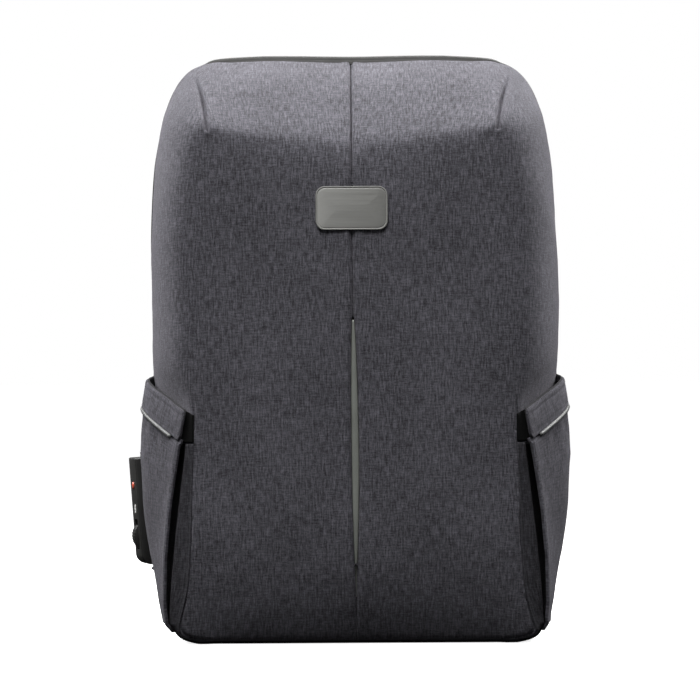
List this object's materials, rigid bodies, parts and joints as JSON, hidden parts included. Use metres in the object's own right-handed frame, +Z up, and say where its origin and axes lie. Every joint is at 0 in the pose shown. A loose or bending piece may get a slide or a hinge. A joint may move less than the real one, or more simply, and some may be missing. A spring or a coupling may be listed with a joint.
{
  "type": "laptop backpack",
  "caption": "Boxy cloth laptop backpack with a folded top, front plate, reflective centre strip, side pockets, padded straps and a zip lock on its side.",
  "frame": {"origin": "on the flat base that the bag stands on, on its centre line, below the middle of the bag's body", "axes": "+X to the right seen from the front, +Y from the front towards the wearer's back, +Z up"},
  "size_m": [0.3405, 0.2303, 0.4503],
  "materials": {
    "melange": "woven grey melange",
    "reflective": "coated reflective tape",
    "plate": "brushed, grey",
    "coated_zip": "coated zip tape",
    "padding": "padded mesh cloth",
    "base_cloth": "coated plain weave",
    "elastic": "ribbed elastic",
    "webbing": "ribbed webbing",
    "lock_plastic": "fine grain",
    "lock_metal": "satin",
    "lock_red": "gloss"
  },
  "bodies": {
    "bag": {"front_panel_left": "melange", "front_panel_right": "melange", "pocket_panel_left": "melange", "pocket_panel_right": "melange", "pocket_cuff_left": "melange", "pocket_cuff_right": "melange", "pocket_piping_left": "reflective", "pocket_piping_right": "reflective", "pocket_gusset_left": "melange", "pocket_gusset_right": "melange", "pocket_elastic_left": "elastic", "pocket_elastic_right": "elastic", "shoulder_strap_left": "padding", "shoulder_strap_right": "padding", "strap_webbing_left": "webbing", "strap_webbing_right": "webbing", "strap_adjuster_left": "lock_plastic", "strap_adjuster_right": "lock_plastic", "reflective_insert": "reflective", "name_plate": "plate", "zip_band": "coated_zip", "back_gusset": "melange", "back_panel": "padding", "base_panel": "base_cloth", "grab_handle": "webbing", "lock_body": "lock_plastic", "lock_indicator": "lock_red", "zip_pull_upper": "lock_plastic", "zip_pull_lower": "lock_plastic"},
    "key_plug": {"lock_key_cylinder": "lock_metal"},
    "release_slider": {"lock_slider": "lock_plastic"}
  },
  "joints": [
    {"name": "key_turn", "type": "hinge", "parent": "bag", "child": "key_plug", "pos_m": [-0.16729, 0.03877, 0.10012], "axis": [0.9775, 0.1989, 0.0698], "range_deg": [0, 90]},
    {"name": "slider_push", "type": "slide", "parent": "bag", "child": "release_slider", "axis": [-0.0684, -0.0139, 0.9976], "range_m": [0, 0.004], "stiffness_N_per_m": 250}
  ]
}
